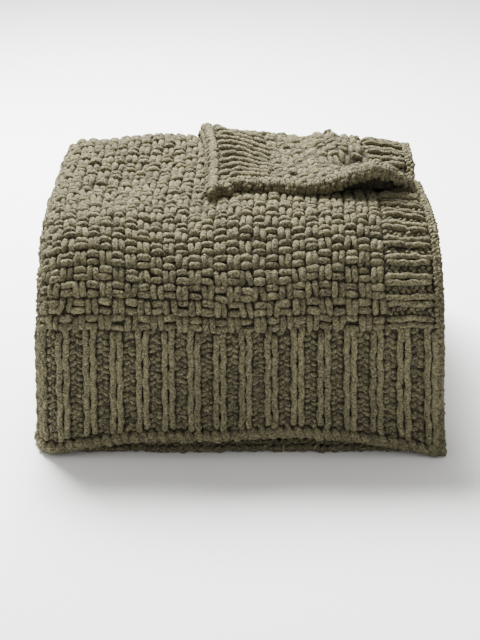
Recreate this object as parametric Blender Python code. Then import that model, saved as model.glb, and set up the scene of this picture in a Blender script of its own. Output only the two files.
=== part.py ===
# Chunky knit throw, folded and lying flat.  One piece of knitted cloth, borders and hems knitted in.
# Metres.  +X right, +Y back, +Z up; the hem that hangs down the front faces -Y.
import bpy
import bmesh
import math
from collections import namedtuple

FOLDED_WIDTH = 0.432        # left folds to right selvedges, at half height
FOLDED_DEPTH = 0.416        # front face to back turn
CLOTH_THICK = 0.0165
LAYER_PITCH = 0.0205        # middle of one layer to the middle of the next
PASS_GAP = 0.0045           # between one pass of the wrapped pack and the next
FRONT_TURN = 0.084          # middle of the pack, over the front edge
PASSES = 3                  # top, middle and bottom pass of the wrap

FLAP_THICK = 0.0066         # the turned-back part is pressed flatter
FLAP_HINGE_X = 0.096        # fold line of the turned-back part

PACK_THICK = 3.0 * LAYER_PITCH + CLOTH_THICK
STACK_HEIGHT = PASSES * PACK_THICK + (PASSES - 1) * PASS_GAP
BACK_RADIUS = STACK_HEIGHT / 2.0
LEFT = -FOLDED_WIDTH / 2.0
RIGHT = FOLDED_WIDTH / 2.0
FRONT = -FOLDED_DEPTH / 2.0
BACK = FOLDED_DEPTH / 2.0
HALF = CLOTH_THICK / 2.0
FOLD_SQUARED = 0.62         # the big left fold is flatter than a half round

# Runs of the wrap, in order from the front hem to the end inside: kind and how many steps.
Run = namedtuple("Run", "name kind steps")
RUNS = (
    Run("front drop", "line", 4),
    Run("front turn", "arc", 6),
    Run("top pass", "line", 9),
    Run("back turn", "arc", 10),
    Run("bottom pass", "line", 4),
    Run("inner turn", "arc", 8),
    Run("middle pass", "line", 3),
)

# Corners of every layer across the width, the same in each so that they lie side by side.
LAYER_MARKS = (0.150, 0.112, 0.085, 0.0, -0.100)
TOP_MARKS = (0.150, 0.112, 0.085, 0.045, 0.0, -0.050, -0.100, -0.140)

# How far each layer's free or folded right edge stands in from the right, along the wrap.
Edge = namedtuple("Edge", "along top second pair")
EDGES = (
    Edge(0.00, 0.000, 0.0035, 0.006),
    Edge(0.07, 0.0015, 0.0015, 0.008),
    Edge(0.15, 0.001, 0.0030, 0.005),
    Edge(0.24, 0.003, 0.0010, 0.009),
    Edge(0.34, 0.004, 0.0045, 0.007),
    Edge(0.48, 0.002, 0.0060, 0.010),
    Edge(0.62, 0.005, 0.0030, 0.008),
    Edge(0.80, 0.008, 0.0070, 0.012),
    Edge(1.00, 0.004, 0.0090, 0.011),
)

# Slack of the layers: soft waves laid over the whole folded pile.
Wave = namedtuple("Wave", "moves height across along start")
WAVES = (
    Wave("z", 0.006, 0.61, 0.47, 0.9),
    Wave("z", 0.006, 0.23, 0.31, 2.2),
    Wave("z", 0.006, 0.13, -0.19, 4.0),
    Wave("x", 0.0030, 0.50, 0.33, 1.1),
    Wave("y", 0.0030, 0.37, 0.90, 0.4),
    Wave("y", 0.0018, 0.16, 0.50, 2.9),
)
EDGE_SAG = 0.014            # share of the height lost at the outer edges of the top
SELVEDGE_LEAN = 0.060       # how much narrower the selvedge side is at the top than at the foot
FOLD_LEAN = 0.036           # the same for the folded side
HEM_LIFT = 0.028            # arch of the outer hem above the surface it hangs to
PUFF = 0.032                # rise of the second layer where the top one is turned back
BACK_RISE = 0.018           # the top stands a little higher toward the back

# Turned-back part, one row for each section from its selvedge to the right edge.
# front: foremost line of the rolled edge; under: clearance below the roll;
# roll: thickness of the roll; crown: top of the flap's far end above the pile;
# reach: how far back the top run goes; tuck: how far the lower run goes back under it;
# slant: sideways drift of the section toward its back end.
Lap = namedtuple("Lap", "x front under roll crown reach tuck slant")
LAPS = (
    Lap(-0.031, -0.066, -0.003, 0.0145, 0.015, 0.150, 0.022, -0.014),
    Lap(-0.015, -0.061, -0.003, 0.016, 0.014, 0.156, 0.030, -0.012),
    Lap(0.002, -0.053, -0.003, 0.017, 0.008, 0.158, 0.034, -0.009),
    Lap(0.022, -0.058, -0.004, 0.017, 0.005, 0.158, 0.036, -0.006),
    Lap(0.040, -0.063, -0.004, 0.016, 0.004, 0.158, 0.038, -0.004),
    Lap(0.060, -0.064, -0.004, 0.016, 0.003, 0.158, 0.040, -0.002),
    Lap(0.080, -0.062, -0.003, 0.017, 0.001, 0.156, 0.042, 0.0),
    Lap(FLAP_HINGE_X, -0.061, 0.0, 0.018, -0.003, 0.150, 0.040, 0.0),
    Lap(0.112, -0.064, 0.006, 0.018, -0.015, 0.128, 0.032, 0.0),
    Lap(0.132, -0.068, 0.015, 0.017, -0.018, 0.088, 0.028, 0.0),
    Lap(0.151, -0.070, 0.020, 0.016, -0.018, 0.056, 0.026, 0.0),
    Lap(0.169, -0.066, 0.015, 0.016, -0.018, 0.040, 0.024, 0.0),
    Lap(0.184, -0.053, 0.005, 0.015, -0.018, 0.030, 0.014, 0.0),
    Lap(0.193, -0.043, -0.001, 0.0145, -0.019, 0.026, 0.008, 0.0),
    Lap(0.200, -0.036, -0.003, 0.0145, -0.020, 0.022, 0.006, 0.0),
)

def blend(low, high, share):
    return low + (high - low) * share

def softStep(value, start, end):
    share = min(1.0, max(0.0, (value - start) / (end - start)))
    return share * share * (3.0 - 2.0 * share)

def rowAt(rows, key, value):
    """Row of a table worked out between its two nearest rows."""
    if value <= getattr(rows[0], key):
        return rows[0]
    for low, high in zip(rows, rows[1:]):
        if value <= getattr(high, key):
            share = softStep(value, getattr(low, key), getattr(high, key))
            return type(low)(*(blend(a, b, share) for a, b in zip(low, high)))
    return rows[-1]

def wrapStations():
    """Middle line of the wrapped pack as (y, z, outY, outZ, along)."""
    topZ = STACK_HEIGHT - PACK_THICK / 2.0
    backTurn = (STACK_HEIGHT - PACK_THICK) / 2.0
    innerTurn = (PACK_THICK + PASS_GAP) / 2.0
    dropY = FRONT + PACK_THICK / 2.0
    innerY = FRONT + PACK_THICK + PASS_GAP + innerTurn + PACK_THICK / 2.0
    backY = BACK - backTurn - PACK_THICK / 2.0
    frontY = dropY + FRONT_TURN
    half = PACK_THICK / 2.0
    # each run: start and end of a line, or centre, radius and turning angles (from -Y, clockwise)
    shapes = {
        "front drop": ((dropY, 0.0), (dropY, topZ - FRONT_TURN)),
        "front turn": ((frontY, topZ - FRONT_TURN), FRONT_TURN, 0.0, 90.0),
        "top pass": ((frontY, topZ), (backY, topZ)),
        "back turn": ((backY, topZ - backTurn), backTurn, 90.0, 270.0),
        "bottom pass": ((backY, half), (innerY, half)),
        "inner turn": ((innerY, half + innerTurn), innerTurn, -90.0, 90.0),
        "middle pass": ((innerY, half + 2.0 * innerTurn), (backY + 0.012, half + 2.0 * innerTurn)),
    }
    stations = []
    for number, run in enumerate(RUNS):
        first = 0 if number == 0 else 1
        for step in range(first, run.steps + 1):
            share = step / run.steps
            if run.kind == "line":
                (y0, z0), (y1, z1) = shapes[run.name]
                length = math.hypot(y1 - y0, z1 - z0)
                y, z = blend(y0, y1, share), blend(z0, z1, share)
                out = (-(z1 - z0) / length, (y1 - y0) / length)
            else:
                (cy, cz), radius, start, end = shapes[run.name]
                angle = math.radians(blend(start, end, share))
                out = (-math.cos(angle), math.sin(angle))
                y, z = cy + out[0] * radius, cz + out[1] * radius
            stations.append([y, z, out[0], out[1]])
    total = 0.0
    marks = [0.0]
    for one, two in zip(stations, stations[1:]):
        total += math.hypot(two[0] - one[0], two[1] - one[1])
        marks.append(total)
    return [tuple(st) + (mark / total,) for st, mark in zip(stations, marks)], total

def sectionLine(edge, topEnd):
    """Middle line of the four layers as (x, out, sideX, sideOut), from top selvedge to second."""
    pitch = LAYER_PITCH
    line = []

    def run(x0, x1, level, side, marks=LAYER_MARKS):
        leftward = x0 > x1
        line.append((x0, level, 0.0, side))
        for number, mark in enumerate(marks if leftward else marks[::-1]):
            x = min(mark, x0 - 0.006 * (number + 1)) if leftward else mark
            line.append((x, level, 0.0, side))
        line.append((x1, level, 0.0, side))

    def turn(cx, level, radius, start, end, count, squared=1.0):
        for step in range(1, count):
            angle = math.radians(blend(start, end, step / count))
            along, up = math.cos(angle), math.sin(angle)
            size = math.hypot(along, up * squared)
            line.append((cx + along * radius * squared, level + up * radius,
                         along / size, up * squared / size))

    outerX = LEFT + 1.5 * pitch * FOLD_SQUARED + HALF
    innerX = LEFT + 1.5 * pitch + HALF + 0.004
    pairX = RIGHT - edge.pair - 0.5 * pitch - HALF
    run(topEnd, outerX, 1.5 * pitch, 1.0, TOP_MARKS)
    turn(outerX, 0.0, 1.5 * pitch, 90.0, 270.0, 8, FOLD_SQUARED)
    run(outerX, pairX, -1.5 * pitch, -1.0)
    turn(pairX, -pitch, 0.5 * pitch, 270.0, 450.0, 4)
    run(pairX, innerX, -0.5 * pitch, 1.0)
    middle = len(line)
    turn(innerX, 0.0, 0.5 * pitch, 270.0, 90.0, 4)
    line[middle:] = [(x, n, -sx, -sn) for x, n, sx, sn in line[middle:]]
    run(innerX, RIGHT - edge.second, 0.5 * pitch, -1.0)
    return line

def sheetRing(line):
    """Closed outline of a sheet from its middle line, its two free ends rounded."""
    outer, inner = [], []
    last = len(line) - 1
    for number, (x, n, sx, sn) in enumerate(line):
        thick = HALF
        outer.append((x + sx * thick, n + sn * thick))
        inner.append((x - sx * thick, n - sn * thick))
    for side in (outer, inner):
        for end, near in ((0, 1), (last, last - 1)):
            dx = line[end][0] - line[near][0]
            reach = math.copysign(0.0035, dx)
            side[end] = (side[end][0] - reach, side[end][1])
    caps = []
    for end in (0, last):
        x, n, sx, sn = line[end]
        caps.append(((x, n + sn * HALF * 0.55), (x, n - sn * HALF * 0.55)))
    outer = [caps[0][0]] + outer + [caps[1][0]]
    inner = [caps[0][1]] + inner + [caps[1][1]]
    return outer, inner

def settle(x, y, z):
    """The slack and spread of the whole pile; the surface it rests on stays flat."""
    height = z / STACK_HEIGHT
    shiftX = shiftY = shiftZ = 0.0
    for wave in WAVES:
        swing = math.sin(x / wave.across * 2.0 * math.pi + y / wave.along * 2.0 * math.pi + wave.start)
        if wave.moves == "z":
            shiftZ += wave.height * swing * 0.30 * height
        elif wave.moves == "x":
            shiftX += wave.height * swing
        else:
            shiftY += wave.height * swing * (0.4 + 0.6 * height)
    sideways = abs(x) / RIGHT
    sag = EDGE_SAG * sideways ** 4
    rise = PUFF * softStep(x, 0.084, 0.120) * softStep(y, 0.010, 0.055)
    rise += BACK_RISE * softStep(y, -0.030, 0.130)
    rise *= min(height, 0.92) ** 3 * (1.0 - softStep(y, 0.135, 0.200))
    z = z * (1.0 - sag) + shiftZ + rise
    lean = (SELVEDGE_LEAN if x > 0.0 else FOLD_LEAN) * (0.5 - height)
    return x * (1.0 + lean) + shiftX, y * (1.0 + 0.012 * (0.5 - height)) + shiftY, max(z, 0.0)

def hemLift(x, along, layer):
    """The outer hem arches clear of the surface between its two ends."""
    if layer != "outer":
        return 0.0
    share = 0.5 + x / FOLDED_WIDTH
    arch = math.sin(math.pi * min(1.0, max(0.0, share))) ** 1.3 * (1.0 + 0.25 * math.cos(share * 7.0))
    return HEM_LIFT * arch * (1.0 - softStep(along, 0.0, 0.14))

def topEndAt(station, edge):
    """Right end of the top layer: its selvedge, or the hinge where it is turned back."""
    y, z, outY, outZ, along = station
    selvedge = RIGHT - edge.top
    inside = z < STACK_HEIGHT * 0.7 and y < BACK - BACK_RADIUS + 0.020
    if outZ < -0.2 or inside:
        return selvedge
    turned = softStep(y, -0.012, 0.024)
    if y > BACK - BACK_RADIUS:
        turned *= 1.0 - softStep(-outZ, -0.80, 0.10)
    return blend(selvedge, FLAP_HINGE_X - 0.004, turned)

def loft(name, rings):
    """One closed body through rings of (outer, inner) sides with the same count."""
    mesh = bmesh.new()
    grid = [[mesh.verts.new(p) for p in outer + inner[::-1]] for outer, inner in rings]
    count = len(grid[0])
    for low, high in zip(grid, grid[1:]):
        for k in range(count):
            after = (k + 1) % count
            mesh.faces.new((low[k], low[after], high[after], high[k]))
    for ring in (grid[0], grid[-1]):
        for k in range(count // 2 - 1):
            mesh.faces.new((ring[k], ring[k + 1], ring[count - 2 - k], ring[count - 1 - k]))
    bmesh.ops.triangulate(mesh, faces=mesh.faces[:])
    bmesh.ops.recalc_face_normals(mesh, faces=mesh.faces[:])
    data = bpy.data.meshes.new(name)
    mesh.to_mesh(data)
    mesh.free()
    return bpy.data.objects.new(name, data)

def foldedCloth():
    stations, length = wrapStations()
    print("wrap length", round(length, 4))
    rings = []
    for station in stations:
        y, z, outY, outZ, along = station
        edge = rowAt(EDGES, "along", along)
        line = sectionLine(edge, topEndAt(station, edge))
        sides = []
        for side in sheetRing(line):
            points = []
            for k, (x, n) in enumerate(side):
                layer = "outer" if k <= 15 else "inner"
                lift = hemLift(x, along, layer)
                points.append(settle(x, y + outY * n, z + outZ * n + lift))
            sides.append(points)
        rings.append(tuple(sides))
    return loft("blanket", rings)

def pileTop(y):
    """Height of the pile's upper surface, level and then rounding over the back turn."""
    past = max(0.0, y - (BACK - BACK_RADIUS))
    return STACK_HEIGHT - BACK_RADIUS + math.sqrt(max(0.0, BACK_RADIUS ** 2 - past ** 2))

def lapLine(lap):
    """Middle line of one section of the turned-back part, from its back end round the roll."""
    half = FLAP_THICK / 2.0
    radius = (lap.roll - FLAP_THICK) / 2.0
    low = STACK_HEIGHT + lap.under + half
    turnY = lap.front + half + radius
    topZ = low + 2.0 * radius
    line = []
    steps = 11
    for step in range(steps):
        share = step / (steps - 1)
        y = blend(lap.reach, turnY, share)
        over = blend(lap.crown - half, topZ - STACK_HEIGHT, softStep(share, 0.30, 0.95))
        sunk = softStep(share, 0.0, 0.22)
        line.append((y, pileTop(y) + blend(min(over, -half * 2.0), over, sunk)))
    for step in range(1, 6):
        angle = math.radians(blend(90.0, 270.0, step / 6))
        line.append((turnY + math.cos(angle) * radius, topZ - radius + math.sin(angle) * radius))
    for step in range(4):
        share = step / 3
        y = blend(turnY, turnY + lap.tuck, share)
        line.append((y, blend(low, STACK_HEIGHT - half * 1.6, softStep(share, 0.1, 1.0))))
    return line

def offsetSides(line, thick):
    outer, inner = [], []
    for k, (y, z) in enumerate(line):
        before, after = line[max(0, k - 1)], line[min(len(line) - 1, k + 1)]
        dy, dz = after[0] - before[0], after[1] - before[1]
        size = math.hypot(dy, dz)
        ny, nz = dz / size, -dy / size
        outer.append((y + ny * thick, z + nz * thick))
        inner.append((y - ny * thick, z - nz * thick))
    return outer, inner

def turnedBack():
    rows = [(LAPS[0], 0.0, 0.55), (LAPS[0], 0.004, 1.0)]
    rows += [(lap, 0.0, 1.0) for lap in LAPS[1:-1]]
    rows += [(LAPS[-1], -0.004, 1.0), (LAPS[-1], 0.0, 0.55)]
    rings = []
    for lap, inset, thick in rows:
        sides = []
        for side in offsetSides(lapLine(lap), FLAP_THICK / 2.0 * thick):
            points = []
            for y, z in side:
                drift = lap.slant * softStep(y, lap.front, lap.reach)
                points.append(settle(lap.x + inset + drift, y, z))
            sides.append(points)
        rings.append(tuple(sides))
    return loft("turned_back", rings)

def clothMaterial():
    material = bpy.data.materials.new("knit_cloth")
    material.use_nodes = True
    shader = material.node_tree.nodes["Principled BSDF"]
    shader.inputs["Base Color"].default_value = (0.155, 0.128, 0.078, 1.0)
    shader.inputs["Roughness"].default_value = 0.95
    return material

for old in list(bpy.data.objects):
    bpy.data.objects.remove(old, do_unlink=True)

parts = bpy.data.collections.new("knit_throw")
tools = bpy.data.collections.new("joining_shapes")
bpy.context.scene.collection.children.link(parts)
bpy.context.scene.collection.children.link(tools)

blanket = foldedCloth()
blanket.data.materials.append(clothMaterial())
parts.objects.link(blanket)

flap = turnedBack()
flap.hide_render = True
flap.display_type = "WIRE"
tools.objects.link(flap)

# the pile stands with its middle over the origin
corners = [v.co for piece in (blanket, flap) for v in piece.data.vertices]
middleX = (min(c.x for c in corners) + max(c.x for c in corners)) / 2.0
middleY = (min(c.y for c in corners) + max(c.y for c in corners)) / 2.0
for piece in (blanket, flap):
    for v in piece.data.vertices:
        v.co.x -= middleX
        v.co.y -= middleY

join = blanket.modifiers.new("join_turned_back", "BOOLEAN")
join.operation = "UNION"
join.solver = "EXACT"
join.object = flap
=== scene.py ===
import math
import bpy
import numpy as np
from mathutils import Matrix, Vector


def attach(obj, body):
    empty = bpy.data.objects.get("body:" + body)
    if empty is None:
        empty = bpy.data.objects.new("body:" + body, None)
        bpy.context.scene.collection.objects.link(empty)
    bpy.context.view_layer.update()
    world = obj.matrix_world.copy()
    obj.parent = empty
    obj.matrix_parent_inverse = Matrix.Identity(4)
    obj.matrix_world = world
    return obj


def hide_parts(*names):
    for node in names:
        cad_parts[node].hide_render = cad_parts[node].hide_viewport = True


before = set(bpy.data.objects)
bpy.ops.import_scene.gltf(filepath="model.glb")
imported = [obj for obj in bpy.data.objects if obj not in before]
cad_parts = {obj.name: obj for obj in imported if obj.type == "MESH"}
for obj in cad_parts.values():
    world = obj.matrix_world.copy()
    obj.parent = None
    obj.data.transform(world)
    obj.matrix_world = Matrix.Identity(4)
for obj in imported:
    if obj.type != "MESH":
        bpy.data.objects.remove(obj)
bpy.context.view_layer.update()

# the folded pile, in metres: +X to the selvedges, +Y to the back, +Z up
pile = {
    "width": 0.432,
    "depth": 0.416,
    "clothThick": 0.0165,
    "pitch": 0.0205,         # from one layer to the next
    "gap": 0.0045,           # between two passes of the wrap
    "frontTurn": 0.084,      # radius of the soft front edge
    "squared": 0.62,         # how blunt the left fold is
    "sag": 0.014,            # share of height lost at the two ends
    "selvedgeLean": 0.060,
    "foldLean": 0.036,
    "hemLift": 0.028,        # arch of the outer hem
    "puff": 0.032,           # swelling of the layer that is laid bare
    "backRise": 0.018,
    "middleX": 0.00062,      # brings the finished pile over the origin
    "middleY": -0.00056,
}
turnedBack = {
    "hingeX": 0.096,         # where the top layer folds over to the left
    "thick": 0.0066,
    "coreThick": 0.0040,
    "ribStep": 0.0150,
    "ribRound": 0.0046,
    "ribLong": 0.062,
    "band": 0.0085,
    "backEnd": 0.21,
}
core = {"thick": 0.0080, "lapSections": 46}

# how far each layer's right edge stands in from the widest place, by share of the wrap
edgeRows = {
    "along": (0.00, 0.07, 0.15, 0.24, 0.34, 0.48, 0.62, 0.80, 1.00),
    "top": (0.000, 0.0015, 0.001, 0.003, 0.004, 0.002, 0.005, 0.008, 0.004),
    "second": (0.0035, 0.0015, 0.0030, 0.0010, 0.0045, 0.0060, 0.0030, 0.0070, 0.0090),
    "pair": (0.006, 0.008, 0.005, 0.009, 0.007, 0.010, 0.008, 0.012, 0.011),
}
# slow waves over the whole pile: what moves, size, length across, length along, start
waveRows = (
    ("z", 0.006, 0.61, 0.47, 0.9),
    ("z", 0.006, 0.23, 0.31, 2.2),
    ("z", 0.006, 0.13, -0.19, 4.0),
    ("x", 0.0030, 0.50, 0.33, 1.1),
    ("y", 0.0030, 0.37, 0.90, 0.4),
    ("y", 0.0018, 0.16, 0.50, 2.9),
)
# sections of the turned-back part from its selvedge to the hinge
lapRows = {
    "x": (-0.031, -0.015, 0.002, 0.022, 0.040, 0.060, 0.080, 0.096, 0.112, 0.132, 0.151, 0.169,
          0.184, 0.193, 0.200),
    "front": (-0.066, -0.061, -0.053, -0.058, -0.063, -0.064, -0.062, -0.061, -0.064, -0.068,
              -0.070, -0.066, -0.053, -0.043, -0.036),
    "under": (-0.003, -0.003, -0.003, -0.004, -0.004, -0.004, -0.003, 0.0, 0.006, 0.015, 0.020,
              0.015, 0.005, -0.001, -0.003),
    "roll": (0.0145, 0.016, 0.017, 0.017, 0.016, 0.016, 0.017, 0.018, 0.018, 0.017, 0.016, 0.016,
             0.015, 0.0145, 0.0145),
    "crown": (0.015, 0.014, 0.008, 0.005, 0.004, 0.003, 0.001, -0.003, -0.015, -0.018, -0.018,
              -0.018, -0.018, -0.019, -0.020),
    "reach": (0.150, 0.156, 0.158, 0.158, 0.158, 0.158, 0.156, 0.150, 0.128, 0.088, 0.056, 0.040,
              0.030, 0.026, 0.022),
    "tuck": (0.022, 0.030, 0.034, 0.036, 0.038, 0.040, 0.042, 0.040, 0.032, 0.028, 0.026, 0.024,
             0.014, 0.008, 0.006),
    "slant": (-0.014, -0.012, -0.009, -0.006, -0.004, -0.002, 0.0, 0.0, 0.0, 0.0, 0.0, 0.0, 0.0,
              0.0, 0.0),
}

half = pile["clothThick"] / 2
pitch = pile["pitch"]
pack = 3 * pitch + pile["clothThick"]        # four layers together
height = 3 * pack + 2 * pile["gap"]
backRadius = height / 2
leftX, rightX = -pile["width"] / 2, pile["width"] / 2
frontY, backY = -pile["depth"] / 2, pile["depth"] / 2
topZ = height - pack / 2
backTurn = (height - pack) / 2
innerTurn = (pack + pile["gap"]) / 2
dropY = frontY + pack / 2
innerY = frontY + pack + pile["gap"] + innerTurn + pack / 2
turnBackY = backY - backRadius
turnFrontY = dropY + pile["frontTurn"]
topLevel = pack / 2                          # outer face of the top layer, from the pack's middle
secondLevel = 0.5 * pitch + half

# runs of the wrap from the front hem inward: kind, start or centre, end or radius, angles, steps
runs = (
    ("line", (dropY, 0.0), (dropY, topZ - pile["frontTurn"]), None, 6),
    ("arc", (turnFrontY, topZ - pile["frontTurn"]), pile["frontTurn"], (0, 90), 12),
    ("line", (turnFrontY, topZ), (turnBackY, topZ), None, 12),
    ("arc", (turnBackY, topZ - backTurn), backTurn, (90, 270), 20),
    ("line", (turnBackY, pack / 2), (innerY, pack / 2), None, 6),
    ("arc", (innerY, pack / 2 + innerTurn), innerTurn, (-90, 90), 12),
    ("line", (innerY, pack / 2 + 2 * innerTurn), (turnBackY + 0.012, pack / 2 + 2 * innerTurn),
     None, 5),
)


def soft(value, start, end):
    share = np.clip((value - start) / (end - start), 0, 1)
    return share * share * (3 - 2 * share)


def rowValue(rows, key, value, column):
    keys, values = np.array(rows[key]), np.array(rows[column])
    at = np.clip(np.searchsorted(keys, value) - 1, 0, len(keys) - 2)
    share = soft(value, keys[at], keys[at + 1])
    return values[at] + (values[at + 1] - values[at]) * share


def runLengths(out):
    # length of each run, measured out from the middle of the pack
    lengths = []
    for kind, a, b, angles, steps in runs:
        if kind == "line":
            lengths.append(math.hypot(b[0] - a[0], b[1] - a[1]))
        else:
            lengths.append((b + out) * math.radians(angles[1] - angles[0]))
    return np.array(lengths)


middleLengths = runLengths(0)
middleStarts = np.concatenate(([0], np.cumsum(middleLengths)))
outerStarts = np.concatenate(([0], np.cumsum(runLengths(pack / 2))))
wrapEnd = outerStarts[-1]


def wrapAt(v):
    # middle of the wrapped pack, and its outward direction, where the outer face is v from the hem
    v = np.asarray(v, dtype=float)
    y, z, outY, outZ, along = (np.zeros_like(v) for k in range(5))
    for number, (kind, a, b, angles, steps) in enumerate(runs):
        low, high = outerStarts[number], outerStarts[number + 1]
        here = (v >= low) if number else (v >= -1)
        share = (v - low) / (high - low)
        if kind == "line":
            size = math.hypot(b[0] - a[0], b[1] - a[1])
            runY, runZ = a[0] + (b[0] - a[0]) * share, a[1] + (b[1] - a[1]) * share
            normalY = -(b[1] - a[1]) / size + 0 * share
            normalZ = (b[0] - a[0]) / size + 0 * share
        else:
            angle = np.radians(angles[0] + (angles[1] - angles[0]) * share)
            normalY, normalZ = -np.cos(angle), np.sin(angle)
            runY, runZ = a[0] + normalY * b, a[1] + normalZ * b
        for whole, piece in ((y, runY), (z, runZ), (outY, normalY), (outZ, normalZ)):
            whole[here] = piece[here]
        along[here] = (middleStarts[number] + middleLengths[number] * share)[here]
    return y, z, outY, outZ, along / middleStarts[-1]


def settle(x, y, z):
    # slow waves, drooping ends, the swelling at the back right and a slight lean outward
    high = z / height
    dx = dy = dz = 0.0
    for moves, size, across, along, start in waveRows:
        swing = size * np.sin(x / across * 2 * math.pi + y / along * 2 * math.pi + start)
        if moves == "z":
            dz = dz + swing * 0.30 * high
        elif moves == "x":
            dx = dx + swing
        else:
            dy = dy + swing * (0.4 + 0.6 * high)
    sag = pile["sag"] * (np.abs(x) / rightX) ** 4
    rise = pile["puff"] * soft(x, 0.084, 0.120) * soft(y, 0.010, 0.055)
    rise = rise + pile["backRise"] * soft(y, -0.030, 0.130)
    z = z * (1 - sag) + dz + rise * np.clip(high, 0, 0.92) ** 3 * (1 - soft(y, 0.135, 0.200))
    lean = np.where(x > 0, pile["selvedgeLean"], pile["foldLean"]) * (0.5 - high)
    return (x * (1 + lean) + dx - pile["middleX"],
            y * (1 + 0.012 * (0.5 - high)) + dy - pile["middleY"], z)


def hemLift(x, along):
    share = np.clip(0.5 + x / pile["width"], 0, 1)
    arch = np.sin(math.pi * share) ** 1.3 * (1 + 0.25 * np.cos(share * 7))
    return pile["hemLift"] * arch * (1 - soft(along, 0, 0.14))


def topEnd(v):
    # right end of the top layer: its selvedge, or the hinge where it is turned back
    y, z, outY, outZ, along = wrapAt(v)
    selvedge = rightX - rowValue(edgeRows, "along", along, "top")
    turned = soft(y, -0.012, 0.024)
    turned = np.where(y > turnBackY, turned * (1 - soft(-outZ, -0.80, 0.10)), turned)
    inside = (outZ < -0.2) | ((z < height * 0.7) & (y < turnBackY + 0.020))
    turned = np.where(inside, 0, turned)
    return selvedge + (turnedBack["hingeX"] - 0.004 - selvedge) * turned


# the left fold: half an ellipse round the pack, measured along its face
outerX = leftX + 1.5 * pitch * pile["squared"] + half
foldWide, foldTall = 1.5 * pitch * pile["squared"] + half, pack / 2
foldAngles = np.linspace(0, math.pi, 200)
foldSteps = np.hypot(np.diff(foldWide * np.sin(foldAngles)), np.diff(foldTall * np.cos(foldAngles)))
foldLengths = np.concatenate(([0], np.cumsum(foldSteps)))


def packAt(x, level, v, lift=True):
    y, z, outY, outZ, along = wrapAt(v)
    up = hemLift(x, along) * soft(level, secondLevel, topLevel - half) if lift else 0
    return np.stack(settle(x, y + outY * level, z + outZ * level + up), axis=-1)


def topFace(u, v):
    # outer face of the top layer, u inward from its selvedge and on round the left fold
    v = np.asarray(v, dtype=float)
    along = wrapAt(v)[4]
    inset = rowValue(edgeRows, "along", along, "top") * (1 - soft(u, 0.05, 0.12))
    straight = rightX - outerX
    angle = np.interp(u - straight, foldLengths, foldAngles)
    past = np.maximum(0, u - straight - foldLengths[-1])
    x = np.where(u < straight, rightX - np.maximum(u, 0) - inset,
                 outerX - foldWide * np.sin(angle) + past)
    level = np.where(u < straight, topLevel + np.minimum(u, 0), foldTall * np.cos(angle))
    return packAt(x, level, v)


def secondFace(u, v):
    # outer face of the second layer, u inward from its selvedge
    v = np.asarray(v, dtype=float)
    inset = rowValue(edgeRows, "along", wrapAt(v)[4], "second")
    x = rightX - np.maximum(u, 0) - inset
    return packAt(x, secondLevel + np.minimum(u, 0) + 0 * v, v, False)


def pairFace(u, v):
    # right-hand fold that joins the two lower layers, u round it from the top
    v = np.asarray(v, dtype=float)
    radius = 0.5 * pitch + half
    centre = rightX - rowValue(edgeRows, "along", wrapAt(v)[4], "pair") - 0.5 * pitch - half
    angle = np.clip(u / radius, 0, math.pi)
    return packAt(centre + radius * np.sin(angle), -pitch + radius * np.cos(angle), v, False)


def pileTop(y):
    past = np.maximum(0, y - turnBackY)
    return height - backRadius + np.sqrt(np.maximum(0, backRadius ** 2 - past ** 2))


def lapValues(x):
    return {name: rowValue(lapRows, "x", x, name) for name in lapRows if name != "x"}


def lapFace(x, b, side=1.0, thick=turnedBack["thick"]):
    # face of the turned-back part: b back from the roll's top, or negative round the roll
    x, b = np.broadcast_arrays(np.asarray(x, dtype=float), np.asarray(b, dtype=float))
    lap = lapValues(x)
    h = turnedBack["thick"] / 2
    radius = (lap["roll"] - turnedBack["thick"]) / 2
    low = height + lap["under"] + h
    turnY = lap["front"] + h + radius
    top = low + 2 * radius
    y = turnY + np.maximum(b, 0)
    # from the roll the sheet comes down to its crown, then sinks into the pile at its reach
    share = np.clip((lap["reach"] - y) / (lap["reach"] - turnY), 0, 1)
    over = (lap["crown"] - h) + (top - height - lap["crown"] + h) * soft(share, 0.30, 0.95)
    sunk = soft(share, 0, 0.22)
    buried = np.minimum(over, -h * 2)
    run = pileTop(y) + buried + (over - buried) * sunk
    # round the roll, and on as a tuck under it
    reachOut = radius + side * thick / 2
    angle = np.clip(-b / (radius + h), 0, math.pi)
    past = np.maximum(0, -b - math.pi * (radius + h))
    underShare = past / lap["tuck"]
    underZ = low + (height - h * 1.6 - low) * soft(underShare, 0.1, 1)
    z = np.where(b >= 0, run + side * thick / 2, top - radius + np.cos(angle) * reachOut)
    z = np.where(past > 0, underZ - side * thick / 2, z)
    y = np.where(b >= 0, y, turnY - np.sin(angle) * reachOut + past)
    drift = lap["slant"] * soft(y, lap["front"], lap["reach"])
    return np.stack(settle(x + drift, y, z), axis=-1)


# which way a face's own normal points: 1 outward, -1 into the cloth
faceSides = {topFace: -1, secondFace: -1, pairFace: 1, lapFace: 1}


def meshObject(name, verts, faces):
    data = bpy.data.meshes.new(name)
    data.from_pydata([tuple(p) for p in verts], [], faces)
    data.update()
    thing = bpy.data.objects.new(name, data)
    bpy.context.scene.collection.objects.link(thing)
    return thing


def faceOutward(data):
    data.calc_loop_triangles()
    co = np.empty(len(data.vertices) * 3)
    data.vertices.foreach_get("co", co)
    co = co.reshape(-1, 3)
    tri = np.empty(len(data.loop_triangles) * 3, dtype=np.int32)
    data.loop_triangles.foreach_get("vertices", tri)
    a, b, c = (co[tri.reshape(-1, 3)[:, k]] for k in range(3))
    if np.einsum("ij,ij->i", a, np.cross(b, c)).sum() < 0:
        data.flip_normals()


def smooth(data):
    data.polygons.foreach_set("use_smooth", [True] * len(data.polygons))


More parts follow.
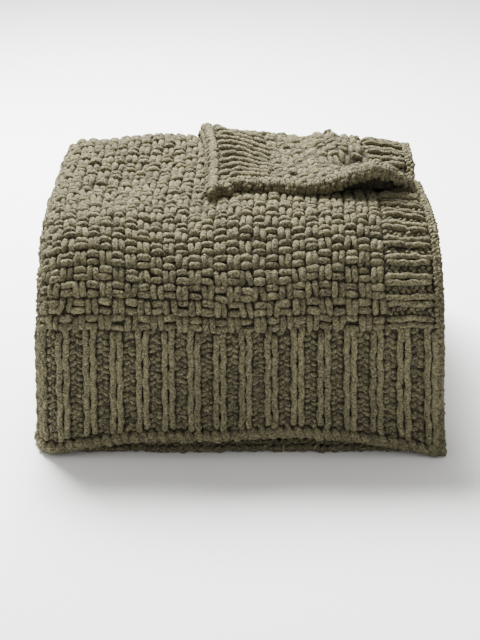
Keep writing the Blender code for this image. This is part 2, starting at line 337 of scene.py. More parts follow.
def closedLoft(rings):
    # one closed body through rings of (outer side, inner side)
    verts, faces = [], []
    count = len(rings[0][0]) * 2
    for outer, inner in rings:
        verts += list(outer) + list(inner)[::-1]
    for ring in range(len(rings) - 1):
        for k in range(count):
            after = (k + 1) % count
            faces.append((ring * count + k, ring * count + after,
                          (ring + 1) * count + after, (ring + 1) * count + k))
    for ring in (0, len(rings) - 1):
        for k in range(count // 2 - 1):
            quad = [ring * count + j for j in (k, k + 1, count - 2 - k, count - 1 - k)]
            faces.append(tuple(quad[::-1] if ring == 0 else quad))
    return verts, faces


def sectionLine(pairInset, secondInset, end):
    # the four layers as one line folded back and forth: x, level and the outward direction
    line = []

    def straight(x0, x1, level, count, side):
        for step in range(count):
            line.append((x0 + (x1 - x0) * step / (count - 1), level, 0.0, side))

    def turn(cx, level, radius, start, stop, count, squared=1.0):
        for step in range(1, count):
            angle = math.radians(start + (stop - start) * step / count)
            along, up = math.cos(angle), math.sin(angle)
            size = math.hypot(along, up * squared)
            line.append((cx + along * radius * squared, level + up * radius,
                         along / size, up * squared / size))

    innerX = leftX + 1.5 * pitch + half + 0.004
    pairX = rightX - pairInset - 0.5 * pitch - half
    straight(end, outerX, 1.5 * pitch, 18, 1.0)
    turn(outerX, 0.0, 1.5 * pitch, 90, 270, 12, pile["squared"])
    straight(outerX, pairX, -1.5 * pitch, 8, -1.0)
    turn(pairX, -pitch, 0.5 * pitch, 270, 450, 8)
    straight(pairX, innerX, -0.5 * pitch, 8, 1.0)
    middle = len(line)
    turn(innerX, 0.0, 0.5 * pitch, 270, 90, 8)
    line[middle:] = [(x, level, -outX, -up) for x, level, outX, up in line[middle:]]
    straight(innerX, rightX - secondInset, 0.5 * pitch, 10, -1.0)
    return line


def packRings():
    # the folded sheet along the wrap, and how far each point is along the cloth and up it
    marks = []
    for number, run in enumerate(runs):
        steps = np.linspace(outerStarts[number], outerStarts[number + 1], run[4] + 1)
        marks += list(steps if number == 0 else steps[1:])
    marks[0] = 0.003
    rings, flat = [], []
    for v in marks:
        at = np.array([v])
        along = wrapAt(at)[4]
        second = rowValue(edgeRows, "along", along, "second")[0] + 0.004
        pair = rowValue(edgeRows, "along", along, "pair")[0]
        line = sectionLine(pair, second, topEnd(at)[0] - 0.004)
        sides = []
        for sign in (1, -1):
            out = sign * core["thick"] / 2
            pts = np.array([(x + out * outX, level + out * up) for x, level, outX, up in line])
            sides.append(packAt(pts[:, 0], pts[:, 1], np.full(len(pts), v)))
        rings.append(tuple(sides))
        middle = np.array([(x, level) for x, level, outX, up in line])
        run = np.concatenate(([0], np.cumsum(np.hypot(*np.diff(middle, axis=0).T))))
        flat.append(np.concatenate((run, run[::-1])))
    return rings, np.concatenate(flat), np.repeat(marks, len(flat[0]))


def lapRings():
    # the turned-back part, section by section from its selvedge to the hinge
    spots = list(np.linspace(lapRows["x"][0] + 0.003, lapRows["x"][-1] - 0.004, core["lapSections"]))
    shares = np.concatenate((np.linspace(1, 0, 24, endpoint=False),     # over the pile
                             np.linspace(0, -1, 9, endpoint=False),     # round the roll
                             np.linspace(-1, -1.8, 5)))                 # tucked under
    rings, flatU, flatV = [], [], []
    for x in spots:
        lap = {name: float(value) for name, value in lapValues(np.array(x)).items()}
        radius = lap["roll"] / 2
        turnY = lap["front"] + radius
        run = np.where(shares > 0, shares * (lap["reach"] - turnY - 0.004),
                       np.where(shares > -1, shares * math.pi * radius,
                                -math.pi * radius + (shares + 1) * lap["tuck"]))
        rings.append(tuple(lapFace(np.full(len(run), x), run, side, turnedBack["coreThick"])
                           for side in (1, -1)))
        flatU.append(np.full(len(run) * 2, x))
        flatV.append(np.concatenate((run, run[::-1])))
    return rings, np.concatenate(flatU), np.concatenate(flatV)


def clothCore():
    # the sheet itself, thinner than the knit that stands on it, along every fold
    rings, flatU, flatV = packRings()
    verts, faces = closedLoft(rings)
    start = len(verts)
    rings, lapU, lapV = lapRings()
    more, moreFaces = closedLoft(rings)
    verts += more
    faces += [tuple(k + start for k in face) for face in moreFaces]
    thing = meshObject("knitCloth", verts, faces)
    data = thing.data
    flatU = np.concatenate((flatU, lapU))
    flatV = np.concatenate((flatV, lapV))
    layer = data.uv_layers.new(name="cloth")
    corner = np.empty(len(data.loops), dtype=np.int32)
    data.loops.foreach_get("vertex_index", corner)
    layer.data.foreach_set("uv", np.stack((flatU[corner], flatV[corner]), axis=-1).ravel())
    return thing


# the yarn is laid out flat as (across, along, up), grown by node trees, then carried onto the folds
yarnSizes = {
    "lumps": 0.0036,         # how far brushing pushes a strand out of shape
    "ropeLumps": 0.6,        # share of that on the long ropes
    "lumpScale": 240,
    "ropeSides": 8,
    "stitch": 0.0085,        # along a rope, from one pull-in to the next
    "ropeStep": 0.0026,
    "floorGap": 0.0006,
}


def strandShape(name, rings, sides):
    # one stitch's strand, one unit long, wide and high, blunt and tucked down at both ends
    verts, faces = [(-0.5, 0, -0.42)], []
    for ring in range(rings):
        t = (ring + 0.55) / (rings + 0.1)
        far = abs(2 * t - 1)
        size = 0.5 * (1 - far ** 5) ** 0.5 * (0.94 + 0.06 * math.cos(ring * 2.6))
        dip = -0.42 * far ** 3
        for k in range(sides):
            angle = 2 * math.pi * (k + 0.5) / sides
            verts.append((t - 0.5, math.cos(angle) * size, math.sin(angle) * size + dip))
    verts.append((0.5, 0, -0.42))
    last = 1 + (rings - 1) * sides
    for k in range(sides):
        after = (k + 1) % sides
        faces.append((0, 1 + after, 1 + k))
        for ring in range(rings - 1):
            low, high = 1 + ring * sides, 1 + (ring + 1) * sides
            faces.append((low + k, low + after, high + after, high + k))
        faces.append((last + k, last + after, len(verts) - 1))
    thing = meshObject(name, verts, faces)
    smooth(thing.data)
    return thing


class Knitting:
    # rows of stitches laid flat, with their slack drawn from one fixed seed

    def __init__(self, seed):
        self.rng = np.random.RandomState(seed)
        self.at, self.turn, self.size, self.tone = [], [], [], []

    def add(self, u, v, up, angle, long, wide, high=None, slack=1.0, shade=0.0):
        u, v = np.broadcast_arrays(np.atleast_1d(np.asarray(u, float)), np.asarray(v, float))
        count = u.size
        u, v = u.ravel(), v.ravel()

        def spread(size):
            return self.rng.normal(0, size, count) * slack

        def each(value):
            return np.broadcast_to(np.asarray(value, float), (count,))

        angle, up, long, wide = each(angle), each(up), each(long), each(wide)
        high = wide * 1.1 if high is None else each(high)
        self.at.append(np.stack((u + spread(0.0006), v + spread(0.0007), up + spread(0.0006)), -1))
        self.turn.append(np.stack((spread(0.07), spread(0.07), np.radians(angle) + spread(0.11)), -1))
        swell = 1 + spread(0.06)
        self.size.append(np.stack((long * (1 + spread(0.05)), wide * swell, high * swell), -1))
        # shade lowers the tone: painted shade on stitches that sit in recesses or under the hem
        self.tone.append(np.clip(0.5 + shade + spread(0.16), 0, 1))

    def grow(self, name, shape, material, face):
        at = np.concatenate(self.at)
        data = bpy.data.meshes.new(name + "Spots")
        data.vertices.add(len(at))
        data.vertices.foreach_set("co", at.ravel())
        for label, rows in (("turn", self.turn), ("size", self.size)):
            spots = data.attributes.new(label, "FLOAT_VECTOR", "POINT").data
            spots.foreach_set("vector", np.concatenate(rows).ravel())
        data.attributes.new("tone", "FLOAT", "POINT").data.foreach_set("value", np.concatenate(self.tone))
        data.update()
        values = {"Strand": shape, "Lumps": yarnSizes["lumps"], "Yarn": material}
        return growFrom(name, data, stitchTree, values, face)


class Ropes:
    # long strands laid flat as lines, lumpy where each stitch pulls in

    def __init__(self, seed):
        self.rng = np.random.RandomState(seed)
        self.points, self.edges, self.rounds, self.tones = [], [], [], []
        self.count = 0

    def add(self, start, end, up, radius, wobble=0.0007, ragged=0.004):
        start, end = np.array(start, float), np.array(end, float)
        size = np.linalg.norm(end - start)
        start = start + (end - start) / size * self.rng.uniform(-0.2, 0.5) * ragged
        end = end + (end - start) / size * self.rng.uniform(-0.6, 0.8) * ragged
        size = np.linalg.norm(end - start)
        count = max(6, int(size / yarnSizes["ropeStep"]))
        t = np.linspace(0, 1, count)
        across = np.array((-(end - start)[1], (end - start)[0])) / size
        phase, second, third = self.rng.rand(3) * 6.28
        sway = sum(share * np.sin(t * size / length * 6.28 + begin) for share, length, begin in (
            (1, 0.043, phase), (0.6, 0.017, second), (0.35, 0.0085, third))) * wobble
        line = start + (end - start) * t[:, None] + across * sway[:, None]
        bump = np.abs(np.sin(t * size / yarnSizes["stitch"] * math.pi + phase
                             + 0.8 * np.sin(t * 9 + third)))
        toEnd = np.minimum(t, 1 - t) * size
        ends = np.minimum(1, toEnd / 0.003 + 0.35)
        dip = -0.004 * (1 - np.minimum(1, toEnd / 0.006))
        high = up + dip + 0.0006 * np.sin(t * size / 0.019 * 6.28 + second)
        self.points.append(np.column_stack((line, high)))
        self.rounds.append(radius * ends * (0.84 + 0.20 * bump + self.rng.normal(0, 0.035, count)))
        tone = 0.5 + self.rng.normal(0, 0.10) + self.rng.normal(0, 0.07, count)
        self.tones.append(np.clip(tone, 0, 1))
        index = np.arange(self.count, self.count + count - 1)
        self.edges.append(np.column_stack((index, index + 1)))
        self.count += count

    def grow(self, name, material, face):
        points, edges = np.concatenate(self.points), np.concatenate(self.edges)
        data = bpy.data.meshes.new(name + "Lines")
        data.vertices.add(len(points))
        data.vertices.foreach_set("co", points.ravel())
        data.edges.add(len(edges))
        data.edges.foreach_set("vertices", edges.ravel())
        for label, rows in (("round", self.rounds), ("tone", self.tones)):
            spots = data.attributes.new(label, "FLOAT", "POINT").data
            spots.foreach_set("value", np.concatenate(rows))
        data.update()
        values = {"Sides": yarnSizes["ropeSides"], "Yarn": material,
                  "Lumps": yarnSizes["lumps"] * yarnSizes["ropeLumps"]}
        return growFrom(name, data, ropeTree, values, face)


def newTree(name, inputs):
    tree = bpy.data.node_groups.new(name, "GeometryNodeTree")
    tree.interface.new_socket("Geometry", in_out="OUTPUT", socket_type="NodeSocketGeometry")
    tree.interface.new_socket("Geometry", in_out="INPUT", socket_type="NodeSocketGeometry")
    for label, kind in inputs:
        tree.interface.new_socket(label, in_out="INPUT", socket_type=kind)
    return tree, tree.nodes.new("NodeGroupInput"), tree.nodes.new("NodeGroupOutput")


def named(tree, label, kind):
    node = tree.nodes.new("GeometryNodeInputNamedAttribute")
    node.data_type = kind
    node.inputs["Name"].default_value = label
    return node.outputs["Attribute"]


def finishTree(tree, geometry, source, out):
    # every strand comes out a little lumpy, as brushed yarn does
    real = tree.nodes.new("GeometryNodeRealizeInstances")
    place = tree.nodes.new("GeometryNodeInputPosition")
    lumps = tree.nodes.new("ShaderNodeTexNoise")
    middle = tree.nodes.new("ShaderNodeVectorMath")
    amount = tree.nodes.new("ShaderNodeVectorMath")
    shift = tree.nodes.new("GeometryNodeSetPosition")
    shade = tree.nodes.new("GeometryNodeSetShadeSmooth")
    paint = tree.nodes.new("GeometryNodeSetMaterial")
    lumps.inputs["Scale"].default_value = yarnSizes["lumpScale"]
    lumps.inputs["Detail"].default_value = 1.5
    middle.operation = "SUBTRACT"
    middle.inputs[1].default_value = (0.5, 0.5, 0.5)
    amount.operation = "SCALE"
    tree.links.new(geometry, real.inputs[0])
    tree.links.new(place.outputs[0], lumps.inputs["Vector"])
    tree.links.new(lumps.outputs["Color"], middle.inputs[0])
    tree.links.new(middle.outputs[0], amount.inputs[0])
    tree.links.new(source.outputs["Lumps"], amount.inputs["Scale"])
    tree.links.new(real.outputs[0], shift.inputs["Geometry"])
    tree.links.new(amount.outputs[0], shift.inputs["Offset"])
    tree.links.new(shift.outputs[0], shade.inputs[0])
    tree.links.new(shade.outputs[0], paint.inputs[0])
    tree.links.new(source.outputs["Yarn"], paint.inputs["Material"])
    tree.links.new(paint.outputs[0], out.inputs[0])
    return tree


def makeStitchTree():
    # one strand on every spot, turned and sized as the spot says
    tree, source, out = newTree("stitchesOnCloth", (
        ("Strand", "NodeSocketObject"), ("Lumps", "NodeSocketFloat"), ("Yarn", "NodeSocketMaterial")))
    shape = tree.nodes.new("GeometryNodeObjectInfo")
    place = tree.nodes.new("GeometryNodeInstanceOnPoints")
    tree.links.new(source.outputs["Geometry"], place.inputs["Points"])
    tree.links.new(source.outputs["Strand"], shape.inputs["Object"])
    tree.links.new(shape.outputs["Geometry"], place.inputs["Instance"])
    tree.links.new(named(tree, "turn", "FLOAT_VECTOR"), place.inputs["Rotation"])
    tree.links.new(named(tree, "size", "FLOAT_VECTOR"), place.inputs["Scale"])
    return finishTree(tree, place.outputs[0], source, out)


def makeRopeTree():
    # a closed tube along every line, as thick as the line's points say
    tree, source, out = newTree("ropesOnCloth", (
        ("Sides", "NodeSocketInt"), ("Lumps", "NodeSocketFloat"), ("Yarn", "NodeSocketMaterial")))
    curve = tree.nodes.new("GeometryNodeMeshToCurve")
    swell = tree.nodes.new("GeometryNodeSetCurveRadius")
    ring = tree.nodes.new("GeometryNodeCurvePrimitiveCircle")
    sweep = tree.nodes.new("GeometryNodeCurveToMesh")
    ring.inputs["Radius"].default_value = 1.0
    sweep.inputs["Fill Caps"].default_value = True
    tree.links.new(source.outputs["Geometry"], curve.inputs[0])
    tree.links.new(curve.outputs[0], swell.inputs["Curve"])
    tree.links.new(named(tree, "round", "FLOAT"), swell.inputs["Radius"])
    tree.links.new(source.outputs["Sides"], ring.inputs["Resolution"])
    tree.links.new(swell.outputs[0], sweep.inputs["Curve"])
    tree.links.new(ring.outputs[0], sweep.inputs["Profile Curve"])
    if "Scale" in sweep.inputs:
        tree.links.new(named(tree, "round", "FLOAT"), sweep.inputs["Scale"])
    return finishTree(tree, sweep.outputs[0], source, out)


stitchTree = makeStitchTree()
ropeTree = makeRopeTree()


def growFrom(name, data, tree, values, face):
    # a plain mesh grown from flat spots or lines and carried onto a face of the cloth
    seedling = bpy.data.objects.new(name + "Laid", data)
    bpy.context.scene.collection.objects.link(seedling)
    grower = seedling.modifiers.new("grow", "NODES")
    grower.node_group = tree
    for item in tree.interface.items_tree:
        if item.item_type == "SOCKET" and item.in_out == "INPUT" and item.name in values:
            grower[item.identifier] = values[item.name]
    bpy.context.view_layer.update()
    graph = bpy.context.evaluated_depsgraph_get()
    mesh = bpy.data.meshes.new_from_object(seedling.evaluated_get(graph), depsgraph=graph)
    mesh.name = name
    seedling.modifiers.clear()
    bpy.data.objects.remove(seedling, do_unlink=True)
    carry(mesh, face)
    piece = bpy.data.objects.new(name, mesh)
    bpy.context.scene.collection.objects.link(piece)
    pieces.append(piece)
    print(piece.name, len(mesh.polygons))


def carry(mesh, face):
    # each point keeps its height over the face, along the face's own normal
    flat = np.empty(len(mesh.vertices) * 3)
    mesh.vertices.foreach_get("co", flat)
    u, v, up = flat.reshape(-1, 3).T
    step = 0.0008
    alongU = face(u + step, v) - face(u - step, v)
    alongV = face(u, v + step) - face(u, v - step)
    normal = np.cross(alongU, alongV)
    normal /= np.maximum(np.linalg.norm(normal, axis=1, keepdims=True), 1e-12)
    spot = face(u, v) + normal * (up * faceSides[face])[:, None]
    spot[:, 2] = np.maximum(spot[:, 2], yarnSizes["floorGap"])
    mesh.vertices.foreach_set("co", spot.ravel())
    mesh.update()
    if faceSides[face] < 0:
        mesh.flip_normals()


chenille = {
    "dark": (0.030, 0.027, 0.014, 1),
    "light": (0.212, 0.188, 0.098, 1),
    "grainAndPitShade": 0.80,           # how strongly the pits between tufts show: fine grain, and painted shade that darkens the pits
    "sheenTint": (0.80, 0.76, 0.58, 1),
    "fuzzDeep": 0.0022,
}
# colours of the sheet under the strands, far darker than the yarn: painted shade
clothGround = {
    "dark": (0.016, 0.014, 0.008, 1),
    "light": (0.060, 0.052, 0.028, 1),
    "grainAndPitShade": 0.4,
    "reliefDeep": 0.0035,
}
field = {
    "blockWide": 0.01385,    # a block is two strands each way
    "blockTall": 0.0172,
    "rows": 52,
}


def mathNode(nodes, links, operation, one, two):
    node = nodes.new("ShaderNodeMath")
    node.operation = operation
    for k, value in enumerate((one, two)):
        if value is None:
            continue
        if isinstance(value, (int, float)):
            node.inputs[k].default_value = value
        else:
            links.new(value, node.inputs[k])
    return node.outputs[0]


def yarnMaterial(name, sizes):
    material = bpy.data.materials.new(name)
    material.use_nodes = True
    nodes, links = material.node_tree.nodes, material.node_tree.links
    shader = nodes["Principled BSDF"]
    shader.inputs["Roughness"].default_value = 0.92
    shader.inputs["Specular IOR Level"].default_value = 0.12
    shader.inputs["Sheen Weight"].default_value = 0.22
    shader.inputs["Sheen Roughness"].default_value = 0.55
    shader.inputs["Sheen Tint"].default_value = chenille["sheenTint"]

    def do(operation, one, two=None):
        return mathNode(nodes, links, operation, one, two)

    spot = nodes.new("ShaderNodeTexCoord")
    noises = {}
    for label, scale, detail in (("fuzz", 520, 4), ("patch", 26, 2), ("mottle", 150, 2)):
        noises[label] = nodes.new("ShaderNodeTexNoise")
        noises[label].inputs["Scale"].default_value = scale
        noises[label].inputs["Detail"].default_value = detail
        links.new(spot.outputs["Object"], noises[label].inputs["Vector"])
    # the strand's tone: random, and lowered as painted shade on the sunk purl bumps and the foot under
    # the hem
    tone = nodes.new("ShaderNodeAttribute")
    tone.attribute_name = "tone"
    # pits between the tufts of the brushed yarn: fine grain, with painted shade darkening the colour
    # where the bump sinks
    pits = nodes.new("ShaderNodeMapRange")
    pits.inputs["From Min"].default_value = 0.36
    pits.inputs["From Max"].default_value = 0.60
    links.new(noises["fuzz"].outputs["Fac"], pits.inputs["Value"])
    level = do("MULTIPLY", tone.outputs["Fac"], 0.55)
    level = do("ADD", level, do("MULTIPLY", noises["patch"].outputs["Fac"], 0.35))
    level = do("ADD", level, do("MULTIPLY", noises["mottle"].outputs["Fac"], 0.45))
    level = do("ADD", level, do("MULTIPLY", pits.outputs["Result"], sizes["grainAndPitShade"]))
    level = do("SUBTRACT", level, 0.18 + sizes["grainAndPitShade"] * 0.5)
    colour = nodes.new("ShaderNodeMix")
    colour.data_type = "RGBA"
    colour.inputs["A"].default_value = sizes["dark"]
    colour.inputs["B"].default_value = sizes["light"]
    links.new(level, colour.inputs["Factor"])
    links.new(colour.outputs["Result"], shader.inputs["Base Color"])
    bump = nodes.new("ShaderNodeBump")
    bump.inputs["Strength"].default_value = 1.0
    bump.inputs["Distance"].default_value = chenille["fuzzDeep"]
    links.new(pits.outputs["Result"], bump.inputs["Height"])
    links.new(bump.outputs["Normal"], shader.inputs["Normal"])
    return material, level, colour, bump


def groundMaterial():
    # the cloth between and behind the strands: the same basket stitch as soft relief, its colour painted
    # dark as shade and darker still in the relief's hollows
    material, level, colour, fuzz = yarnMaterial("knitGroundPaintedShade", clothGround)
    nodes, links = material.node_tree.nodes, material.node_tree.links

    def do(operation, one, two=None):
        return mathNode(nodes, links, operation, one, two)

    spot = nodes.new("ShaderNodeUVMap")
    spot.uv_map = "cloth"
    parts = nodes.new("ShaderNodeSeparateXYZ")
    links.new(spot.outputs["UV"], parts.inputs[0])
    u = do("DIVIDE", parts.outputs["X"], field["blockWide"])
    v = do("DIVIDE", parts.outputs["Y"], field["blockTall"])
    checker = do("MODULO", do("ABSOLUTE", do("ADD", do("FLOOR", u), do("FLOOR", v))), 2.0)
    reliefs = []
    for one, two in ((u, v), (v, u)):
        strands = do("ABSOLUTE", do("SINE", do("MULTIPLY", one, 2 * math.pi)))
        ends = do("ABSOLUTE", do("SINE", do("MULTIPLY", two, math.pi)))
        reliefs.append(do("MULTIPLY", do("POWER", strands, 0.5), do("POWER", ends, 0.45)))
    upright = do("MULTIPLY", reliefs[0], checker)
    lying = do("MULTIPLY", reliefs[1], do("SUBTRACT", 1.0, checker))
    relief = do("ADD", upright, lying)
    bump = nodes.new("ShaderNodeBump")
    bump.inputs["Strength"].default_value = 1.0
    bump.inputs["Distance"].default_value = clothGround["reliefDeep"]
    links.new(relief, bump.inputs["Height"])
    links.new(fuzz.outputs["Normal"], bump.inputs["Normal"])
    links.new(bump.outputs["Normal"], nodes["Principled BSDF"].inputs["Normal"])
    # colour follows the relief: painted shade in the hollows between strands
    links.new(do("MULTIPLY", relief, do("ADD", level, 0.45)), colour.inputs["Factor"])
    return material


yarn = yarnMaterial("chenilleYarn", chenille)[0]
ground = groundMaterial()

print("cloth core")
knitCloth = clothCore()
faceOutward(knitCloth.data)
smooth(knitCloth.data)
# the sheet takes the dark ground colour: painted shade behind the strands
knitCloth.data.materials.append(ground)

fullStrand = strandShape("strandFull", 7, 8)
lightStrand = strandShape("strandLight", 5, 6)
pieces = []

endBorder = {
    "tall": 0.148,
    "rib": 0.0277,           # from one pair of ropes to the next
    "ropeRound": 0.0036,
    "hemStitch": 0.0098,
    "firstRib": 0.0125,
}
sideBorder = {
    "wide": 0.050,
    "rib": 0.0232,
    "band": 0.0085,          # the plaited selvedge
    "bandStitch": 0.0056,
}
# purl shade lowers the bumps' tone: painted shade in the recess between rope pairs
purl = {"step": 0.0074, "apart": 0.0031, "slant": 36, "long": 0.0108, "wide": 0.0066,
        "sunk": 0.0040, "shade": -0.20}
sidePurl = {"step": 0.0058, "apart": 0.0022, "slant": 56, "long": 0.0075, "wide": 0.0046,
            "sunk": 0.0024}
wide, tall = field["blockWide"], field["blockTall"]
wholeU = rightX - outerX + foldLengths[-1]           # round the left fold to the lowest layer
sideStart = sideBorder["band"]
sideEnd = sideStart + sideBorder["wide"]
ropeRound = endBorder["ropeRound"]


def block(book, u, v, crossed, up, sizes, slack):
    # two strands side by side, along the cloth or across it
    longWide, longTall, thickWide, thickTall = sizes
    if crossed:
        book.add(u + np.array((-1, 1)) * wide / 4, v, up, 90, tall * longTall, wide / 2 * thickWide,
                 slack=slack)
    else:
        book.add(u, v + np.array((-1, 1)) * tall / 4, up, 0, wide * longWide, tall / 2 * thickTall,
                 slack=slack)


def basket(book, us, vs, slack=1.0, keep=None):
    # blocks of two strands along the cloth, chequered with blocks of two across it
    for j, v in enumerate(vs):
        for i, u in enumerate(us):
            if keep is None or keep(u, v):
                block(book, u, v, (i + j) % 2, -0.0032, (1.16, 1.16, 1.12, 1.0), slack)


def ribsAlong(ropes, book, us, low, high, period, up=-0.0016):
    # pairs of ropes running along the cloth with purl bumps sunk between the pairs, the bumps painted
    # darker as shade in the recess
    for u in us:
        for side in (-1, 1):
            ropes.add((u + side * ropeRound, low), (u + side * ropeRound, high + 0.003), up,
                      ropeRound, ragged=0.009)
        count = int((high - low) / purl["step"])
        vs = low + (np.arange(count) + 0.5) * purl["step"]
        for side in (-1, 1):
            book.add(u + period / 2 + side * purl["apart"], vs + (side + 1) * purl["step"] / 4,
                     up - purl["sunk"], -side * purl["slant"], purl["long"], purl["wide"],
                     shade=purl["shade"])


def ribsAcross(ropes, book, vs, low, high, period, up=-0.0026, keep=None):
    for v in vs:
        a, b = keep(v, low, high) if keep else (low, high)
        if keep and b - a < 0.012:
            continue
        for side in (-1, 1):
            ropes.add((a, v + side * 0.0035), (b, v + side * 0.0035), up, ropeRound)
        count = max(1, int((b - a) / sidePurl["step"]))
        us = a + (np.arange(count) + 0.5) * sidePurl["step"]
        for side in (-1, 1):
            book.add(us + (side + 1) * sidePurl["step"] / 4, v + period / 2 + side * sidePurl["apart"],
                     up - sidePurl["sunk"], -side * sidePurl["slant"], sidePurl["long"],
                     sidePurl["wide"])


def chain(book, at, vs, up=-0.0024, size=0.0052):
    # a selvedge: two slanting strands to each row, like a plait
    book.add(at - 0.0022, vs, up, 52, 0.0088, size, slack=0.7)
    book.add(at + 0.0022, vs + 0.0028, up, 128, 0.0088, size, slack=0.7)


def hingeU(v):
    return rightX - float(topEnd(np.array([v]))[0])


def openTop(u, v):
    # true where the top layer is there, and has not been turned back
    return u > hingeU(v) - 0.001


def keepSide(v, low, high):
    return max(low, hingeU(v) + 0.004), high


print("field")
fieldRows = endBorder["tall"] + (np.arange(field["rows"]) + 0.5) * tall
fieldColumns = sideEnd + (np.arange(int((wholeU - sideEnd) / wide)) + 0.5) * wide
for name, low, high, shape, seed in (("fieldFront", 0, 12, fullStrand, 11),
                                     ("fieldTop", 12, 24, fullStrand, 12),
                                     ("fieldBack", 24, 49, lightStrand, 13)):
    book = Knitting(seed)
    basket(book, fieldColumns, fieldRows[low:high], keep=openTop)
    book.grow(name, shape, yarn, topFace)

book = Knitting(14)
innerRows = fieldRows[-1] + tall * np.arange(-2, 40)
innerRows = innerRows[innerRows < wrapEnd - 0.012]
basket(book, fieldColumns, innerRows, keep=lambda u, v: u > wholeU - 0.105 or u < sideEnd + 0.03)
book.grow("fieldInner", lightStrand, yarn, topFace)

print("end border and hem")
ropes, book = Ropes(21), Knitting(22)
ribCount = int((wholeU - 0.012) / endBorder["rib"]) + 1
ribUs = endBorder["firstRib"] + np.arange(ribCount) * endBorder["rib"]
ribsAlong(ropes, book, ribUs, 0.0125, endBorder["tall"] - 0.001, endBorder["rib"])
hemUs = np.arange(0.002, wholeU, endBorder["hemStitch"])
for shift, v, up, slant, long, thick, high, slack in (
        (0, 0.0072, -0.0008, 52, 0.0165, 0.0104, 0.0100, 0.8),
        (0.0049, 0.0058, -0.0028, 30, 0.0150, 0.0084, 0.0090, 0.8),
        (0.0020, 0.0046, -0.0095, -20, 0.0150, 0.0080, 0.0086, 1.0)):
    book.add(hemUs + shift, v, up, slant, long, thick, high, slack=slack)
ropes.grow("endRibs", yarn, topFace)
book.grow("endPurl", fullStrand, yarn, topFace)

print("side border and selvedge")
ropes, book = Ropes(31), Knitting(32)
sideVs = endBorder["tall"] + 0.0085 + np.arange(36) * sideBorder["rib"]
ribsAcross(ropes, book, sideVs, sideStart, sideEnd - 0.001, sideBorder["rib"], keep=keepSide)
bandVs = np.arange(0.006, wrapEnd - 0.01, sideBorder["bandStitch"])
bandVs = bandVs[[openTop(0.004, v) for v in bandVs]]
chain(book, 0.0040, bandVs)
chain(book, -0.0050, bandVs, up=-0.0018)
chain(book, -0.0130, bandVs, up=-0.0018)
# the fold line where the top layer has been turned back, and its way back to the selvedge
foldVs = np.arange(outerStarts[2], outerStarts[4], 0.0058)
for v in foldVs:
    u = hingeU(v)
    if u > 0.012:
        chain(book, u + 0.0030, np.array([v]))
        chain(book, u - 0.0020, np.array([v]), up=-0.0070)
ropes.grow("sideRibs", yarn, topFace)
book.grow("sidePurl", lightStrand, yarn, topFace)

print("second layer")
secondLayer = {
    "bareFrom": 0.085,       # past the front edge, where the top layer leaves it bare
    "bareTo": 0.30,
    "bareColumns": 8,
    "hemColumns": 30,
    "footStitch": 0.0086,    # knit seen under the arched hem
    # the knit under the arched hem is painted darker: painted shade under the hem
    "footPaintedShade": -0.40,
}
ropes, book = Ropes(41), Knitting(42)
backVs = np.arange(outerStarts[2] + secondLayer["bareFrom"], outerStarts[3] + secondLayer["bareTo"],
                   sideBorder["rib"])
ribsAcross(ropes, book, backVs, sideStart, sideEnd, sideBorder["rib"])
bareUs = sideEnd + (np.arange(secondLayer["bareColumns"]) + 0.5) * wide
basket(book, bareUs, np.arange(backVs[0], backVs[-1], tall), slack=1.6)
edgeVs = np.arange(0.004, wrapEnd - 0.01, 0.0058)
for at in (0.0040, -0.0040, -0.0120):
    chain(book, at, edgeVs)
basket(book, (np.arange(secondLayer["hemColumns"]) + 0.5) * wide, (0.014, 0.031))
book.add(np.arange(0.002, 0.42, endBorder["hemStitch"]), 0.0058, -0.0028, 24, 0.0150, 0.0080)
footUs = np.arange(0.030, 0.375, secondLayer["footStitch"])
# rows of the foot under the hem, their tone lowered as painted shade
for out, rise in ((0.0070, 0.0042), (0.0030, 0.0100), (-0.0010, 0.0160)):
    book.add(footUs, rise, out, 34, 0.0115, 0.0072, shade=secondLayer["footPaintedShade"])
    book.add(footUs + secondLayer["footStitch"] / 2, rise + 0.0010, out, -34, 0.0115, 0.0072,
             shade=secondLayer["footPaintedShade"])
ropes.grow("secondRibs", yarn, secondFace)
book.grow("secondStitches", lightStrand, yarn, secondFace)

book = Knitting(51)
basket(book, (np.arange(4) + 0.5) * 0.0144, np.arange(0.010, wrapEnd - 0.01, tall))
book.grow("pairFold", lightStrand, yarn, pairFace)

print("turned-back part")
ropes, book = Ropes(61), Knitting(62)
lapStart, lapEnd = lapRows["x"][0], lapRows["x"][-1]
lapBorder = lapStart + turnedBack["band"]
for b in np.arange(0.014, 0.215, turnedBack["ribStep"]):
    ropes.add((lapBorder, b), (lapBorder + turnedBack["ribLong"], b), -0.0012,
              turnedBack["ribRound"], ragged=0.012)
    book.add(lapBorder + np.arange(0.004, 0.060, 0.0062), b + turnedBack["ribStep"] / 2, -0.0040, 56,
             0.0080, 0.0054)
bandBs = np.arange(-0.030, turnedBack["backEnd"], sideBorder["bandStitch"])
ropes.add((lapStart + 0.0046, -0.024), (lapStart + 0.0046, 0.208), 0.0002, 0.0050, wobble=0.0004)
chain(book, lapStart + 0.0042, bandBs, up=0.0016, size=0.0056)
chain(book, lapStart + 0.0006, bandBs, up=-0.0065)


def clearOfPile(x, b):
    # true where the turned-back part stands above the second layer
    spot = lapFace(np.array([x]), np.array([b]))[0]
    lap = lapValues(np.array(x))
    v = outerStarts[2] + float(lap["front"]) + float(lap["roll"]) / 2 + b - turnFrontY
    under = packAt(np.array([x]), secondLevel, np.array([v]), False)[0]
    return b <= float(lap["reach"]) - float(lap["front"]) - 0.010 and spot[2] > under[2] - 0.002


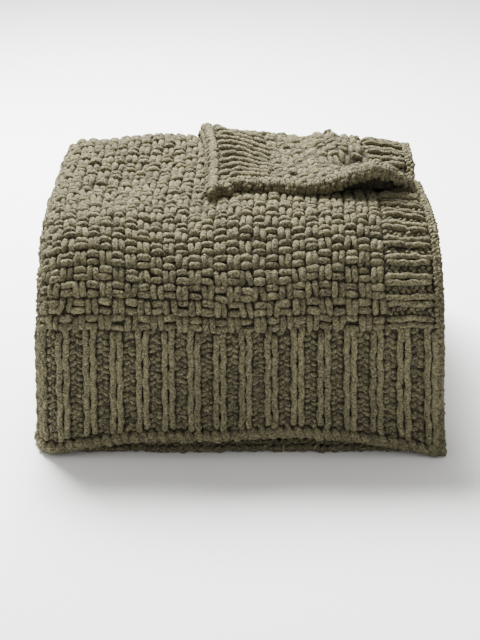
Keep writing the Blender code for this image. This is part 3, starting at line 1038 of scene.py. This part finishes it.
for j, b in enumerate(np.arange(0.014, turnedBack["backEnd"], tall)):
    for i, x in enumerate(np.arange(lapBorder + 0.067, lapEnd, wide)):
        if clearOfPile(x, b):
            block(book, x, b, (i + j) % 2, -0.0026, (1.15, 1.12, 1.1, 0.95), 1.5)
rollXs = np.arange(lapStart + 0.002, lapEnd - 0.001, 0.0046)
for b, lean, shift in ((0.003, 78, 0), (-0.006, 100, 0.0023), (-0.0145, 80, 0), (-0.023, 98, 0.0023)):
    book.add(rollXs + shift, b, -0.0020, lean, 0.0135, 0.0058)
ropes.grow("flapRibs", yarn, lapFace)
book.grow("flapStitches", fullStrand, yarn, lapFace)

for shape in (fullStrand, lightStrand):
    bpy.data.objects.remove(shape, do_unlink=True)

for piece in [knitCloth] + pieces:
    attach(piece, "root")
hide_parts("blanket")

print("floor, light and camera")
studio = {
    "floorHalf": 4,
    "floorColour": (0.86, 0.86, 0.85, 1),
    "skyColour": (1, 0.99, 0.97, 1),
    "sky": 0.78,
    "overhead": {"place": (-0.45, 0.95, 1.60), "size": 1.0, "power": 250},
    "fill": {"place": (0.9, -1.8, 1.1), "size": 1.6, "power": 3},
    "lightTarget": (0, 0, 0.15),
    "lens": 81.4,
    "cameraPlace": (0.002, -1.5485, 0.788),
    "cameraTilt": 65,
}
edge = studio["floorHalf"]
floor = meshObject("floor", ((-edge, -edge, 0), (edge, -edge, 0), (edge, edge, 0), (-edge, edge, 0)),
                   ((0, 1, 2, 3),))
pale = bpy.data.materials.new("paleFloor")
pale.use_nodes = True
paint = pale.node_tree.nodes["Principled BSDF"]
paint.inputs["Base Color"].default_value = studio["floorColour"]
paint.inputs["Roughness"].default_value = 0.9
floor.data.materials.append(pale)

world = bpy.data.worlds.new("studio")
bpy.context.scene.world = world
world.use_nodes = True
sky = world.node_tree.nodes["Background"]
sky.inputs["Color"].default_value = studio["skyColour"]
sky.inputs["Strength"].default_value = studio["sky"]

for name in ("overhead", "fill"):
    light = bpy.data.lights.new(name, "AREA")
    light.size = studio[name]["size"]
    light.energy = studio[name]["power"]
    lamp = bpy.data.objects.new(name, light)
    bpy.context.scene.collection.objects.link(lamp)
    lamp.location = studio[name]["place"]
    aim = Vector(studio["lightTarget"]) - Vector(studio[name]["place"])
    lamp.rotation_euler = aim.to_track_quat("-Z", "Y").to_euler()

camera = bpy.data.objects.new("camera", bpy.data.cameras.new("camera"))
bpy.context.scene.collection.objects.link(camera)
camera.data.sensor_fit = "VERTICAL"
camera.data.sensor_height = 36
camera.data.lens = studio["lens"]
camera.location = studio["cameraPlace"]
camera.rotation_euler = (math.radians(studio["cameraTilt"]), 0, 0)
bpy.context.scene.camera = camera
